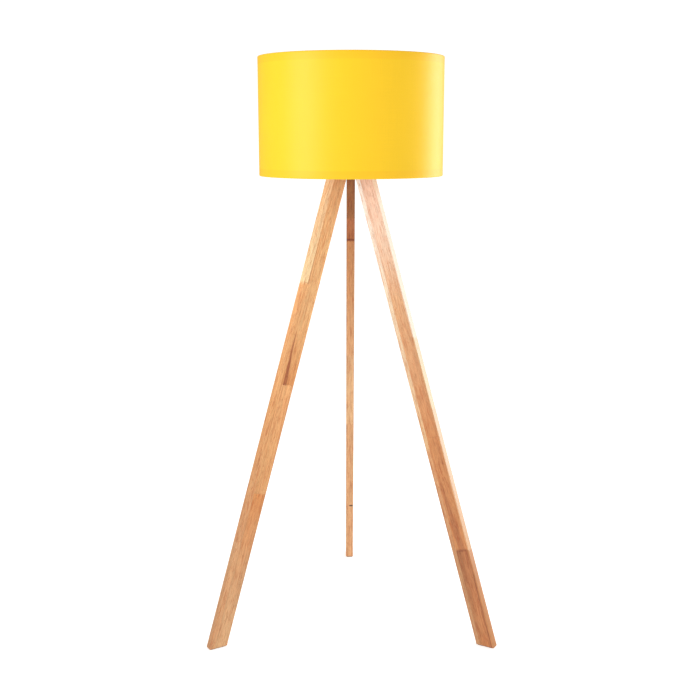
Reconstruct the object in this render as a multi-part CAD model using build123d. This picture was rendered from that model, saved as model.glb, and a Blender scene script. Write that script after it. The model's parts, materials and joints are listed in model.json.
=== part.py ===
from build123d import *
import os
from math import cos, pi, radians, sin, tan

# A floor lamp on three wooden legs under a fabric drum shade. Millimetres, +Z up.
# The origin is on the floor, under the lamp's axis. The back leg points along +Y.

# --- Driving dimensions -----------------------------------------------------------------

# Stance and legs
leg_azimuths = {"left": 210, "right": 330, "back": 90}
leg_lean = 16.9  # degrees from the vertical
leg_depth = 45  # board size in the plane of lean
leg_width = 21  # board size across it
leg_edge = 1.5  # rounding of the board's long edges
foot_reach = 414  # from the axis to the outer face of a leg at the floor
pad_thickness = 2
pad_inset = 2
pad_corner = 3

# Fold pivot of each leg, under the hub plate
pivot_z = 1180
bolt_radius = 3
sleeve_radius = 4.5
fit = 0.05  # radial clearance of a fastener in its hole
running_fit = 0.08  # radial clearance of a turning pin
moving_gap = 0.3  # between two faces that slide past each other
slide_fit = 0.1  # radial clearance of moulded parts that slip together
stack_gap = 0.2  # between stacked parts that are not clamped face to face
thread_chamfer = 0.6  # on the ends of threaded rods
rim_rounding = 0.8  # on the rims of turned and pressed parts

# Hub: plate and brackets
plate_radius = 62
plate_thickness = 3
bracket_gauge = 2
bracket_gap = 23  # between the two ears
bracket_half_length = 16
bend_radius = 1
ear_hole_radius = 3.2
rivet_radius = 2
rivet_head_radius = 3.5
rivet_head_height = 2.4
rivet_offsets = (-3, 12)  # along the bracket, from its pivot

# Pivot fasteners
friction_washer_radius = 9
friction_washer_thickness = 0.8
steel_washer_radius = 6
steel_washer_thickness = 1.2
bolt_head_radius = 5.25
bolt_head_height = 3.3
bolt_head_dome = 0.75  # share of the head's height that is rounded
bolt_socket_size = 4
bolt_socket_depth = 2
bolt_run_out = 1.5
pivot_nut_size = 10
pivot_nut_height = 6
nut_collar_radius = 4.6
nut_collar_height = 1.8

# Threaded tube that carries the lampholder
nipple_radius = 5
nipple_bore = 3.6
nipple_length = 26
nipple_drop = 11.8  # how far it hangs below the plate's top face
lock_nut_size = 14
lock_nut_height = 3
small_washer_thickness = 1
tooth_washer_radius = 9.5
tooth_count = 12
tooth_gap_radius = 1.3
tooth_gap_place = 9.75  # from the axis
bushing_radius = 6.5
bushing_height = 6
bushing_rounding = 1.2

# Lampholder
holder_radius = 21.5
holder_neck_radius = 20
holder_base_height = 34.2
holder_neck_height = 8.5
holder_wall = 3.5
holder_floor = 4.2
holder_foot_radius = 15
holder_flank_radius = 20
holder_flank_rise = 2.5
holder_shoulder_rise = 7
core_thickness = 13
collar_radius = 25
collar_thickness = 3.5
thread_radius = 19.75
thread_height = 23.5
thread_wall = 2.25
skirt_radius = 22.2
screw_shell_bore = 13.4
screw_shell_gauge = 0.5
screw_shell_height = 25
screw_shell_floor_bore = 11.5
screw_shell_floor_gauge = 0.6
terminal_spacing = 20
terminal_screw_radius = 1.5
terminal_screw_length = 8
terminal_head_radius = 2.9
terminal_head_height = 2
terminal_slot_width = 0.8
spring_gauge = 0.5
spring_width = 5
spring_rise = 2.5

# Switch in the side of the lampholder
switch_height = 19.2  # above the lampholder's foot
shaft_radius = 3
shaft_start = 9
shaft_end = 32
cam_radius = 6
cam_length = 5
cam_flats = 7.8  # across the two flats
boss_radius = 6.2
boss_face = 23.2
boss_root = 2  # how far the boss starts inside the cup's outside
knob_radius = 9.5
knob_start = 24.5
knob_end = 43.5
knob_rounding = 3
knob_flutes = 12
flute_radius = 1.8
flute_place = 10.4  # from the knob's axis
flute_start = 2.5  # from the knob's inner end

# Bulb, with a 27 mm screw cap
bulb_radius = 30
bulb_length = 110
cap_radius = 13
cap_gauge = 0.5
cap_height = 22
insulator_height = 4.5
contact_radius = 4.5
contact_height = 1.2
housing_height = 33
housing_wall = 1.5
housing_waist = 19.8
housing_waist_rise = 0.4  # share of its height
spigot_radius = 11.4
spigot_length = 18
globe_wall = 1.2
globe_foot = 29.4
driver_width = 16
driver_height = 38
driver_thickness = 1.6
driver_start = 5  # above the cap's lower end
driver_parts_rise = 12  # above the cap's upper end
capacitor_radius = 4
capacitor_height = 11
coil_width = 9
coil_depth = 8
led_board_thickness = 1.6
led_count = 8
led_ring_radius = 16.5
led_size = 3
led_thickness = 0.8

# Shade
shade_radius = 225
shade_low = 1155
shade_high = 1437
fabric_gauge = 0.5
liner_gauge = 0.5
rim_wire_radius = 1.75
arm_radius = 1.6
arm_root_inset = 4  # how far inside the spider's rim an arm's middle line starts
arm_root_rise = 1.25  # and how far above the spider's top face
arm_slit = 5  # width of the slit in the fabric round each arm
arm_slit_reach = 4.4  # how far the slit runs in from the wire's middle
arm_azimuths = (30, 150, 270)
spider_hole_radius = 20.1
spider_radius = 32
spider_thickness = 1.5
ring_nut_radius = 26
ring_flange_radius = 28.5
ring_flange_height = 2
ring_nut_height = 10
ring_nut_rounding = 1.2
ring_nut_notches = 24
notch_radius = 0.9
contact_gap = 3.3  # from the core to the bulb's tip

# --- Places worked out from them --------------------------------------------------------

lean_tan = tan(radians(leg_lean))
half_depth = leg_depth / 2
half_width = leg_width / 2
level_depth = leg_depth / cos(radians(leg_lean))  # the board's depth along the floor
pivot_r = foot_reach - pivot_z * lean_tan - level_depth / 2
leg_top = pivot_z + half_depth
web_low = leg_top + moving_gap
plate_low = web_low + bracket_gauge
plate_high = plate_low + plate_thickness
half_gap = bracket_gap / 2
ear_face = half_gap + bracket_gauge

holder_low = plate_high + small_washer_thickness
neck_low = holder_low + holder_base_height - holder_neck_height
core_low = holder_low + holder_base_height
core_high = core_low + core_thickness
shell_shoulder = core_high + stack_gap
collar_low = core_high + 2
collar_high = collar_low + collar_thickness
switch_z = holder_low + switch_height

contact_low = core_high + contact_gap
insulator_low = contact_low + contact_height
cap_low = insulator_low + insulator_height
cap_high = cap_low + cap_height
housing_high = cap_high + housing_height
bulb_high = contact_low + bulb_length

spider_low = collar_high + stack_gap
spider_high = spider_low + spider_thickness
rim_r = shade_radius - fabric_gauge - rim_wire_radius
rim_low = shade_low + fabric_gauge + rim_wire_radius
rim_high = shade_high - fabric_gauge - rim_wire_radius


# --- Helpers ----------------------------------------------------------------------------


def tube(outer, inner, low, high):
    """A round tube, or a disc where inner is 0, about the lamp's axis."""
    section = Circle(outer) - Circle(inner) if inner else Circle(outer)
    return Pos(0, 0, low) * extrude(section, high - low)


def turned(*points):
    """A solid of revolution about the lamp's axis, from its (radius, height) outline."""
    return revolve(Plane.XZ * make_face(Polyline(*points, close=True)), Axis.Z)


def at_pivot(piece):
    """Takes a piece made about Z at the origin to a leg's pivot, with its Z along the bolt."""
    return Pos(pivot_r, 0, pivot_z) * Rot(-90, 0, 0) * piece


def around(azimuth, piece):
    """Turns a piece from the +X side of the lamp to an azimuth."""
    return Rot(0, 0, azimuth) * piece


def on_every_leg(piece):
    """Three copies of a piece, one at each leg."""
    return [around(azimuth, piece) for azimuth in leg_azimuths.values()]


# --- Legs -------------------------------------------------------------------------------


def leg():
    """A board cut level at the foot. Its head is round towards the axis, so that it can fold,
    and flat on the outer half, where it stops against the bracket."""
    lean = radians(leg_lean)
    foot_outer = (foot_reach - pad_thickness * lean_tan, pad_thickness)
    foot_inner = (foot_outer[0] - level_depth, pad_thickness)
    cheek = (pivot_r - half_depth * cos(lean), pivot_z - half_depth * sin(lean))
    middle = (pi + lean + pi / 2) / 2
    shoulder = (pivot_r + half_depth * cos(middle), pivot_z + half_depth * sin(middle))
    crown = (pivot_r, leg_top)
    corner = (foot_reach - leg_top * lean_tan, leg_top)
    outline = (
        Line(foot_inner, cheek)
        + ThreePointArc(cheek, shoulder, crown)
        + Line(crown, corner)
        + Line(corner, foot_outer)
        + Line(foot_outer, foot_inner)
    )
    board = extrude(Plane.XZ * make_face(outline), half_width, both=True)
    long_edges = board.edges().filter_by(lambda edge: edge.length > pivot_z / 2)
    board = fillet(long_edges, leg_edge)
    return board - at_pivot(Cylinder(sleeve_radius + fit, 2 * leg_width))


def foot_pad():
    """A felt glide under the level cut of a foot."""
    centre = foot_reach - pad_thickness * lean_tan - level_depth / 2
    pad = RectangleRounded(level_depth - 2 * pad_inset, leg_width - 2 * pad_inset, pad_corner)
    return Pos(centre, 0, 0) * extrude(pad, pad_thickness)


def pivot_sleeve():
    """A nylon sleeve, as long as the board is wide, that turns on the bolt."""
    bore = bolt_radius + running_fit
    return at_pivot(tube(sleeve_radius, bore, -half_width, half_width))


# --- Hub --------------------------------------------------------------------------------


def rivet_places():
    """How far out each rivet of a bracket sits from the lamp's axis."""
    return [pivot_r + offset for offset in rivet_offsets]


def bracket():
    """A channel bent from sheet: a web under the plate and two round-ended ears."""
    length = 2 * bracket_half_length
    height = plate_low - pivot_z
    block = Pos(pivot_r, 0, pivot_z + height / 2) * Box(length, 2 * ear_face, height)
    outside = block.edges().filter_by(Axis.X).group_by(Axis.Z)[-1]
    block = fillet(outside, bend_radius + bracket_gauge)
    block += at_pivot(Cylinder(bracket_half_length, 2 * ear_face))
    hollow_height = web_low - pivot_z + 2 * length
    hollow = Box(2 * length, bracket_gap, hollow_height)
    inside = hollow.edges().filter_by(Axis.X).group_by(Axis.Z)[-1]
    hollow = fillet(inside, bend_radius)
    channel = block - Pos(pivot_r, 0, web_low - hollow_height / 2) * hollow
    channel -= at_pivot(Cylinder(ear_hole_radius, 4 * ear_face))
    for place in rivet_places():
        channel -= Pos(place, 0, plate_low) * Cylinder(rivet_radius + fit, length)
    return channel


def hub_plate():
    """A round steel plate that the three brackets are riveted to."""
    plate = tube(plate_radius, nipple_radius + stack_gap, plate_low, plate_high)
    rims = plate.edges().filter_by(lambda edge: edge.length > pi * plate_radius)
    plate = fillet(rims, rim_rounding)
    drill = Cylinder(rivet_radius + fit, 4 * plate_thickness)
    for place in rivet_places():
        for hole in on_every_leg(Pos(place, 0, plate_high) * drill):
            plate -= hole
    return plate


def rivet():
    """A round-head rivet, flush with the web's underside."""
    ball = (rivet_head_radius**2 + rivet_head_height**2) / (2 * rivet_head_height)
    ball_centre = plate_high + rivet_head_height - ball
    head = Pos(0, 0, ball_centre) * Sphere(ball) & tube(ball, 0, plate_high, plate_high + ball)
    return head + tube(rivet_radius, 0, web_low, plate_high)


def rivets():
    """The six rivets, two to a bracket."""
    found = []
    for place in rivet_places():
        found += on_every_leg(Pos(place, 0, 0) * rivet())
    return found


# --- Pivot fasteners, each made along Z from the middle of the leg ------------------------

washer_face = ear_face + steel_washer_thickness


def pivot_bolt():
    """A button-head bolt with a hexagon socket."""
    end = -(washer_face + pivot_nut_height + bolt_run_out)
    shank = tube(bolt_radius, 0, end, washer_face)
    shank = chamfer(shank.edges().group_by(Axis.Z)[0], thread_chamfer)
    head = tube(bolt_head_radius, 0, washer_face, washer_face + bolt_head_height)
    head = fillet(head.edges().group_by(Axis.Z)[-1], bolt_head_dome * bolt_head_height)
    hexagon = RegularPolygon(bolt_socket_size / 2, 6, major_radius=False)
    socket_floor = washer_face + bolt_head_height - bolt_socket_depth
    socket = Pos(0, 0, socket_floor) * extrude(hexagon, 2 * bolt_socket_depth)
    return at_pivot(shank + head - socket)


def pivot_nut():
    """A self-locking nut: a hexagon with a round collar on its outer end."""
    hexagon = RegularPolygon(pivot_nut_size / 2, 6, major_radius=False)
    hex_height = pivot_nut_height - nut_collar_height
    body = Pos(0, 0, -washer_face - hex_height) * extrude(hexagon, hex_height)
    low = -washer_face - pivot_nut_height
    collar = tube(nut_collar_radius, 0, low, low + nut_collar_height)
    collar = fillet(collar.edges().group_by(Axis.Z)[0], rim_rounding)
    bore = Cylinder(bolt_radius + fit, 4 * washer_face)
    return at_pivot(body + collar - bore)


def pair(piece):
    """A piece made on the +Z side of the leg's middle, and its mirror on the other side."""
    return [at_pivot(piece), at_pivot(mirror(piece, Plane.XY))]


def friction_washers():
    """Nylon washers between each leg and its bracket's ears, two to a leg."""
    low = half_gap - friction_washer_thickness
    washer = tube(friction_washer_radius, ear_hole_radius, low, half_gap)
    return [copy for side in pair(washer) for copy in on_every_leg(side)]


def pivot_washers():
    """Steel washers outside each bracket's ears, two to a leg."""
    washer = tube(steel_washer_radius, ear_hole_radius, ear_face, washer_face)
    return [copy for side in pair(washer) for copy in on_every_leg(side)]


# --- Threaded tube and what clamps it -----------------------------------------------------

nipple_low = plate_high - nipple_drop


def nipple():
    """The threaded tube that the lampholder stands on and the lead would run through."""
    pipe = tube(nipple_radius, nipple_bore, nipple_low, nipple_low + nipple_length)
    ends = pipe.edges().filter_by(lambda edge: edge.length > 6 * nipple_radius)
    return chamfer(ends, thread_chamfer)


def lock_washer():
    """A plain washer under the plate."""
    low = plate_low - small_washer_thickness
    return tube(2 * nipple_radius, nipple_radius + fit, low, plate_low)


def lock_nut():
    """A thin hexagon nut that clamps the tube to the plate from below."""
    hexagon = RegularPolygon(lock_nut_size / 2, 6, major_radius=False)
    low = plate_low - small_washer_thickness - lock_nut_height
    nut = Pos(0, 0, low) * extrude(hexagon - Circle(nipple_radius + fit), lock_nut_height)
    return nut


def tooth_washer():
    """A star washer that keeps the lampholder from turning on the plate."""
    star = Circle(tooth_washer_radius) - Circle(nipple_radius + fit)
    gap = Pos(tooth_gap_place, 0) * Circle(tooth_gap_radius)
    for tooth in range(tooth_count):
        star -= Rot(0, 0, tooth * 360 / tooth_count) * gap
    return Pos(0, 0, plate_high) * extrude(star, small_washer_thickness)


def cable_bushing():
    """A smooth plastic mouth screwed over the tube's lower end: the lamp's cable inlet."""
    low = nipple_low - bushing_height / 2
    bushing = tube(bushing_radius, nipple_bore, low, low + bushing_height)
    outer_low = bushing.edges().group_by(Axis.Z)[0]
    bushing = fillet(outer_low, bushing_rounding)
    return bushing - tube(nipple_radius + fit, 0, nipple_low, nipple_low + bushing_height)


# --- Lampholder ---------------------------------------------------------------------------


def holder_base():
    """The lampholder's cup, with a threaded floor and a boss for the switch shaft."""
    shoulder_z = holder_low + holder_shoulder_rise
    cup = turned(
        (nipple_radius + fit, holder_low),
        (holder_foot_radius, holder_low),
        (holder_flank_radius, holder_low + holder_flank_rise),
        (holder_radius, shoulder_z),
        (holder_radius, neck_low),
        (holder_neck_radius, neck_low),
        (holder_neck_radius, core_low),
        (holder_radius - holder_wall, core_low),
        (holder_radius - holder_wall, holder_low + holder_floor),
        (nipple_radius + fit, holder_low + holder_floor),
    )
    boss_start = holder_radius - boss_root
    boss = extrude(Circle(boss_radius), boss_face - boss_start)
    boss_place = Pos(boss_start, 0, switch_z) * Rot(0, 90, 0)
    shaft_hole = Cylinder(shaft_radius + running_fit, 4 * holder_radius)
    hole_place = Pos(2 * holder_radius, 0, switch_z) * Rot(0, 90, 0)
    return cup + boss_place * boss - hole_place * shaft_hole


def terminal_places():
    """Where the two terminals stand, either side of the axis."""
    return [Pos(0, side * terminal_spacing / 2, 0) for side in (-1, 1)]


def holder_core():
    """The insulating disc that carries the contacts, clamped between cup and shell."""
    core = tube(holder_neck_radius - slide_fit, 0, core_low, core_high)
    hole_high = core_low + terminal_screw_length + 1
    for place in terminal_places():
        core -= place * tube(terminal_screw_radius + fit, 0, core_low, hole_high)
    return core


def terminal_screws():
    """Two brass terminal screws under the core."""
    head_low = core_low - terminal_head_height
    head = tube(terminal_head_radius, 0, head_low, core_low)
    cutter = Box(4 * terminal_head_radius, terminal_slot_width, 2 * terminal_slot_width)
    slot = Pos(0, 0, head_low) * cutter
    screw = head - slot + tube(terminal_screw_radius, 0, core_low, core_low + terminal_screw_length)
    return [place * screw for place in terminal_places()]


def holder_shell():
    """The outer shell: skirt, collar that the shade rests on, and threaded sleeve."""
    skirt_low = neck_low + stack_gap
    sleeve_bore = thread_radius - thread_wall
    shell = turned(
        (holder_neck_radius + slide_fit, skirt_low),
        (skirt_radius, skirt_low),
        (skirt_radius, collar_low),
        (collar_radius, collar_low),
        (collar_radius, collar_high),
        (thread_radius, collar_high),
        (thread_radius, collar_high + thread_height),
        (sleeve_bore, collar_high + thread_height),
        (sleeve_bore, shell_shoulder),
        (holder_neck_radius + slide_fit, shell_shoulder),
    )
    collar_rims = shell.edges().filter_by(lambda edge: edge.length > 1.9 * pi * collar_radius)
    return fillet(collar_rims, rim_rounding)


def screw_shell():
    """The brass sleeve that takes the bulb's cap, with a flange on the core."""
    outer = screw_shell_bore + screw_shell_gauge
    flange_top = core_high + screw_shell_floor_gauge
    return turned(
        (screw_shell_floor_bore, core_high),
        (outer, core_high),
        (outer, core_high + screw_shell_height),
        (screw_shell_bore, core_high + screw_shell_height),
        (screw_shell_bore, flange_top),
        (screw_shell_floor_bore, flange_top),
    )


def centre_contact():
    """A leaf spring that rises from the core to just under the bulb's tip."""
    under = [(-10, 0), (-5, 0), (-1.5, spring_rise), (2, spring_rise), (4, spring_rise / 2)]
    over = [(x, z + spring_gauge) for x, z in reversed(under)]
    outline = Plane.XZ * make_face(Polyline(*under, *over, close=True))
    strip = extrude(outline, spring_width / 2, both=True)
    return Pos(0, 0, core_high) * strip


def shade_ring():
    """The notched ring nut that holds the shade down on the collar."""
    low = spider_high + stack_gap
    ring = tube(ring_flange_radius, 0, low, low + ring_flange_height)
    ring += tube(ring_nut_radius, 0, low, low + ring_nut_height)
    top_rim = ring.edges().group_by(Axis.Z)[-1]
    ring = fillet(top_rim, ring_nut_rounding)
    step = 360 / ring_nut_notches
    notch_low = low + ring_flange_height
    for notch in range(ring_nut_notches):
        groove = tube(notch_radius, 0, notch_low, low + 2 * ring_nut_height)
        ring -= Rot(0, 0, notch * step) * Pos(ring_nut_radius, 0, 0) * groove
    return ring - tube(thread_radius + slide_fit, 0, low - 1, low + 2 * ring_nut_height)


# --- Switch ---------------------------------------------------------------------------------


def along_switch(piece, start):
    """Takes a piece made up Z from the origin to the switch's axis, from start outwards."""
    return Pos(start, 0, switch_z) * Rot(0, 90, 0) * piece


def switch_rotor():
    """The switch's shaft and the cam inside the cup."""
    shaft = extrude(Circle(shaft_radius), shaft_end - shaft_start)
    cam = extrude(Circle(cam_radius) & Rectangle(2 * cam_radius, cam_flats), cam_length)
    return along_switch(shaft + cam, shaft_start)


def switch_knob():
    """A fluted knob with a rounded end."""
    length = knob_end - knob_start
    knob = extrude(Circle(knob_radius), length)
    knob = fillet(knob.edges().group_by(Axis.Z)[-1], knob_rounding)
    step = 360 / knob_flutes
    for flute in range(knob_flutes):
        groove = Pos(flute_place, 0, flute_start) * extrude(Circle(flute_radius), 2 * length)
        knob -= Rot(0, 0, flute * step) * groove
    knob -= extrude(Circle(shaft_radius + fit), shaft_end - knob_start + moving_gap)
    return along_switch(knob, knob_start)


# --- Bulb -----------------------------------------------------------------------------------

cap_bore = cap_radius - cap_gauge
globe_centre = bulb_high - bulb_radius


def bulb_contact():
    """The bulb's centre contact, at the very tip of its cap."""
    button = tube(contact_radius, 0, contact_low, insulator_low)
    return fillet(button.edges().group_by(Axis.Z)[0], rim_rounding)


def bulb_insulator():
    """The dark cone between the centre contact and the threaded cap."""
    return turned(
        (0, insulator_low),
        (contact_radius + 0.5, insulator_low),
        (cap_radius - 1, cap_low),
        (0, cap_low),
    )


def bulb_cap():
    """The metal screw cap, plain at its thread's crest diameter."""
    return tube(cap_radius, cap_bore, cap_low, cap_high)


def housing_outline(inset):
    """Half the housing's flared section, set in by a wall."""
    flare = ThreePointArc(
        (cap_radius + 1 - inset, cap_high),
        (housing_waist - inset, cap_high + housing_waist_rise * housing_height),
        (globe_foot - inset, housing_high),
    )
    return flare + Polyline(flare @ 1, (0, housing_high), (0, cap_high), flare @ 0)


def bulb_housing():
    """A flared plastic housing over the driver, with a spigot in the cap."""
    outside = revolve(Plane.XZ * make_face(housing_outline(0)), Axis.Z)
    outside += tube(spigot_radius, 0, cap_high - spigot_length, cap_high)
    inside = revolve(Plane.XZ * make_face(housing_outline(housing_wall)), Axis.Z)
    inside = Pos(0, 0, housing_wall) * inside
    return outside - inside - tube(spigot_radius - housing_wall, 0, cap_low, cap_high + housing_wall)


def bulb_driver():
    """The driver's upright circuit board, with a capacitor and a coil on it."""
    board_middle = cap_low + driver_start + driver_height / 2
    board = Pos(0, 0, board_middle) * Box(driver_width, driver_thickness, driver_height)
    parts_z = cap_high + driver_parts_rise
    capacitor_place = Pos(0, capacitor_radius + driver_thickness / 3, parts_z)
    capacitor = capacitor_place * Cylinder(capacitor_radius, capacitor_height)
    coil = Pos(0, -(coil_depth + driver_thickness) / 2, parts_z) * Box(coil_width, coil_depth, coil_width)
    return board + capacitor + coil


def bulb_board():
    """The round board that the light-emitting chips are soldered to."""
    inside = globe_foot - globe_wall - moving_gap
    return tube(inside, 0, housing_high, housing_high + led_board_thickness)


def bulb_leds():
    """The light-emitting chips, in a ring."""
    chip_middle = housing_high + led_board_thickness + led_thickness / 2
    chip = Pos(led_ring_radius, 0, chip_middle) * Box(led_size, led_size, led_thickness)
    return [Rot(0, 0, number * 360 / led_count) * chip for number in range(led_count)]


def globe_solid(inset):
    """The globe filled in: a short flare from its foot and then a half sphere."""
    radius = bulb_radius - inset
    crest = radius * cos(pi / 4)
    dome = ThreePointArc((radius, globe_centre), (crest, globe_centre + crest), (0, globe_centre + radius))
    foot = (globe_foot - inset, housing_high)
    outline = dome + Polyline(dome @ 1, (0, housing_high), foot, dome @ 0)
    return revolve(Plane.XZ * make_face(outline), Axis.Z)


def bulb_globe():
    """The opal globe."""
    return globe_solid(0) - globe_solid(globe_wall)


# --- Shade ------------------------------------------------------------------------------------


def rim_wire(height):
    """A steel wire ring."""
    return Pos(0, 0, height) * Torus(rim_r, rim_wire_radius)


def spider_arms():
    """Three round arms, welded to the spider's rim and to the lower wire ring."""
    top = Vector(spider_radius - arm_root_inset, 0, spider_high + arm_root_rise)
    end = Vector(rim_r, 0, rim_low)
    run = end - top
    arm = Plane(origin=top, z_dir=run) * extrude(Circle(arm_radius), run.length)
    arm -= tube(spider_radius, 0, shade_low, shade_high)
    arm -= rim_wire(rim_low)
    solid = arm.solids().sort_by(SortBy.VOLUME)[-1]
    return [around(azimuth, solid) for azimuth in arm_azimuths]


def spider_washer():
    """The flat ring that sits on the lampholder's collar."""
    return tube(spider_radius, spider_hole_radius, spider_low, spider_high)


def shade_fabric():
    """The drum of fabric, its edges wrapped right round both wire rings. The lower wrap is
    slit where an arm passes through it."""
    height = rim_high - rim_low
    section = Pos(shade_radius - fabric_gauge / 2, rim_low + height / 2) * Rectangle(fabric_gauge, height)
    for rim in (rim_low, rim_high):
        section += Pos(rim_r, rim) * Circle(rim_wire_radius + fabric_gauge)
    for rim in (rim_low, rim_high):
        section -= Pos(rim_r, rim) * Circle(rim_wire_radius + fit)
    drum = revolve(Plane.XZ * section, Axis.Z)
    slit = Pos(rim_r - arm_slit_reach, 0, rim_low) * Box(2 * arm_slit, arm_slit, 2 * arm_slit)
    for azimuth in arm_azimuths:
        drum -= around(azimuth, slit)
    return drum


def shade_liner():
    """The stiff white sheet that the fabric is laminated to, between the two wraps."""
    outer = shade_radius - fabric_gauge
    clear = 2 * rim_wire_radius + 2 * fabric_gauge + moving_gap
    return tube(outer, outer - liner_gauge, shade_low + clear, shade_high - clear)


# --- The nodes --------------------------------------------------------------------------------

nodes = {
    "hub_plate": hub_plate(),
    "bracket_rivets": rivets(),
    "pivot_bolts": on_every_leg(pivot_bolt()),
    "pivot_nuts": on_every_leg(pivot_nut()),
    "pivot_washers": pivot_washers(),
    "friction_washers": friction_washers(),
    "threaded_tube": nipple(),
    "lock_nut": lock_nut(),
    "lock_washer": lock_washer(),
    "tooth_washer": tooth_washer(),
    "cable_bushing": cable_bushing(),
    "holder_base": holder_base(),
    "holder_core": holder_core(),
    "holder_shell": holder_shell(),
    "terminal_screws": terminal_screws(),
    "screw_shell": screw_shell(),
    "centre_contact": centre_contact(),
    "shade_ring": shade_ring(),
    "switch_rotor": switch_rotor(),
    "switch_knob": switch_knob(),
    "bulb_contact": bulb_contact(),
    "bulb_insulator": bulb_insulator(),
    "bulb_cap": bulb_cap(),
    "bulb_housing": bulb_housing(),
    "bulb_driver": bulb_driver(),
    "bulb_board": bulb_board(),
    "bulb_leds": bulb_leds(),
    "bulb_globe": bulb_globe(),
    "shade_fabric": shade_fabric(),
    "shade_liner": shade_liner(),
    "rim_wire_top": rim_wire(rim_high),
    "rim_wire_bottom": rim_wire(rim_low),
    "spider_arms": spider_arms(),
    "spider_washer": spider_washer(),
}
for side, azimuth in leg_azimuths.items():
    nodes[f"leg_{side}"] = around(azimuth, leg())
    nodes[f"foot_pad_{side}"] = around(azimuth, foot_pad())
    nodes[f"pivot_sleeve_{side}"] = around(azimuth, pivot_sleeve())
    nodes[f"bracket_{side}"] = around(azimuth, bracket())

os.makedirs("parts", exist_ok=True)
for name, made in nodes.items():
    solids = made if isinstance(made, list) else [made]
    export_step(Compound(children=[Compound(solid.solids()) for solid in solids]), f"parts/{name}.step")
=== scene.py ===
import json
from math import cos, pi, radians, sin, tau

import bmesh
import bpy
from mathutils import Matrix, Vector, noise


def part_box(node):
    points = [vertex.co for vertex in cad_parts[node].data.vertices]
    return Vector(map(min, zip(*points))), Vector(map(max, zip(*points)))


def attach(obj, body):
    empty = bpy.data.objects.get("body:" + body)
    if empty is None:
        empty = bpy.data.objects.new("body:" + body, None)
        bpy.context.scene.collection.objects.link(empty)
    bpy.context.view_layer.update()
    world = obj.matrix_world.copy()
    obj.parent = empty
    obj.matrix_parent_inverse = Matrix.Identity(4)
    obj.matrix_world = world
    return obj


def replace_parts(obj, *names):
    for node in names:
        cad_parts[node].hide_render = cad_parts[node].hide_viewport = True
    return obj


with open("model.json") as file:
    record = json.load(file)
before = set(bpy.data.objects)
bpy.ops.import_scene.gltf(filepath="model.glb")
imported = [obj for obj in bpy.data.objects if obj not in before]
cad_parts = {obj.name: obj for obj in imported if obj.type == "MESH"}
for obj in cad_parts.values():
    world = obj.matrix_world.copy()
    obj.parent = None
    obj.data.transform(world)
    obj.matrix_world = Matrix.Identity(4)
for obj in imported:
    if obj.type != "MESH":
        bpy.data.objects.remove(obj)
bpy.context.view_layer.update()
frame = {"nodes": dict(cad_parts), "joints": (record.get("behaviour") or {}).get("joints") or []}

# A tripod floor lamp: three laminated wooden legs and a yellow fabric drum. Metres.

MM = 0.001

# --- Sizes and places -------------------------------------------------------------------


def middle(node):
    """The middle of a CAD node's box."""
    low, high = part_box(node)
    return (low + high) / 2


def radius_of(node):
    """How far a round node about the lamp's axis reaches from it."""
    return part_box(node)[1].x


wire_gauge = (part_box("rim_wire_top")[1].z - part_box("rim_wire_top")[0].z) / 2
wire_ring = radius_of("rim_wire_top") - wire_gauge
wire_low = middle("rim_wire_bottom").z
wire_high = middle("rim_wire_top").z
shade_radius = radius_of("shade_fabric")
shade_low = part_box("shade_fabric")[0].z
shade_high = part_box("shade_fabric")[1].z
arm_azimuths = (30, 150, 270)

fabric_gauge = 0.42 * MM
hem_depth = 18.5 * MM  # how far the turned-in edges reach from the shade's ends
liner_gauge = 0.42 * MM
seam_azimuth = 90  # at the back
white = (1.0, 1.0, 1.0, 1.0)


# --- Building node materials --------------------------------------------------------------


def tone(code):
    """A colour from its six hexadecimal digits, as linear red, green, blue and alpha."""
    parts = [int(code[i : i + 2], 16) / 255 for i in (0, 2, 4)]
    linear = [c / 12.92 if c < 0.04045 else ((c + 0.055) / 1.055) ** 2.4 for c in parts]
    return (*linear, 1.0)


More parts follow.
